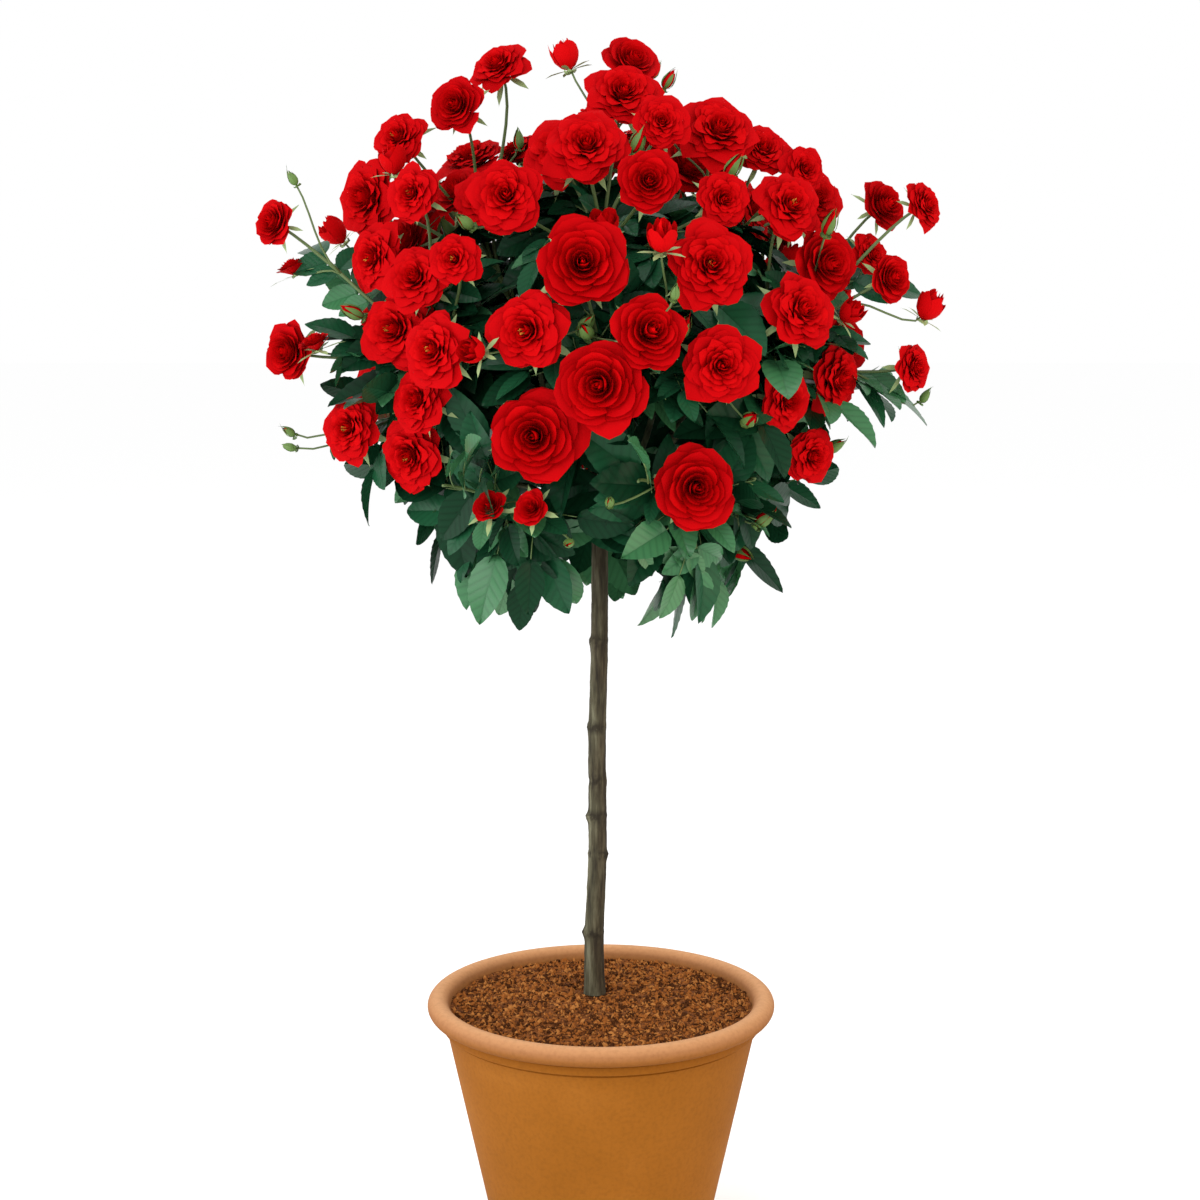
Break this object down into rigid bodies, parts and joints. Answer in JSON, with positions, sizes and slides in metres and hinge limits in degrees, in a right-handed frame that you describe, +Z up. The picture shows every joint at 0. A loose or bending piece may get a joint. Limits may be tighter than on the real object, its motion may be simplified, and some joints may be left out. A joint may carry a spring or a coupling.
{
  "type": "potted standard rose",
  "caption": "Standard rose with a clear woody stem and a round head of dark glossy leaves and double red blooms, growing in a terracotta pot with a rolled rim.",
  "frame": {"origin": "centre of the pot's flat underside", "axes": "+Z up along the stem, -Y towards the picture's front, +X to the picture's right"},
  "size_m": [0.5124, 0.4062, 0.9821],
  "materials": {
    "terracotta": "unglazed orange-brown earthenware, smooth and matt",
    "compost": "crumbly brown potting compost",
    "bark": "grey-green bark with pale streaks and bud scars",
    "cane": "olive green canes",
    "foliage": "glossy dark green leaves with deep red blooms"
  },
  "bodies": {
    "root": {"pot": "terracotta", "soil": "compost", "trunk": "bark", "bough_skirt_1": "cane", "bough_skirt_2": "cane", "bough_skirt_3": "cane", "bough_skirt_4": "cane", "bough_skirt_5": "cane", "bough_middle_1": "cane", "bough_middle_2": "cane", "bough_middle_3": "cane", "bough_middle_4": "cane", "bough_middle_5": "cane", "bough_middle_6": "cane", "bough_upper_1": "cane", "bough_upper_2": "cane", "bough_upper_3": "cane", "bough_upper_4": "cane", "bough_crest": "cane", "foliage_skirt_1": "foliage", "foliage_skirt_2": "foliage", "foliage_skirt_3": "foliage", "foliage_skirt_4": "foliage", "foliage_skirt_5": "foliage", "foliage_middle_1": "foliage", "foliage_middle_2": "foliage", "foliage_middle_3": "foliage", "foliage_middle_4": "foliage", "foliage_middle_5": "foliage", "foliage_middle_6": "foliage", "foliage_upper_1": "foliage", "foliage_upper_2": "foliage", "foliage_upper_3": "foliage", "foliage_upper_4": "foliage", "foliage_crest": "foliage"}
  },
  "joints": []
}
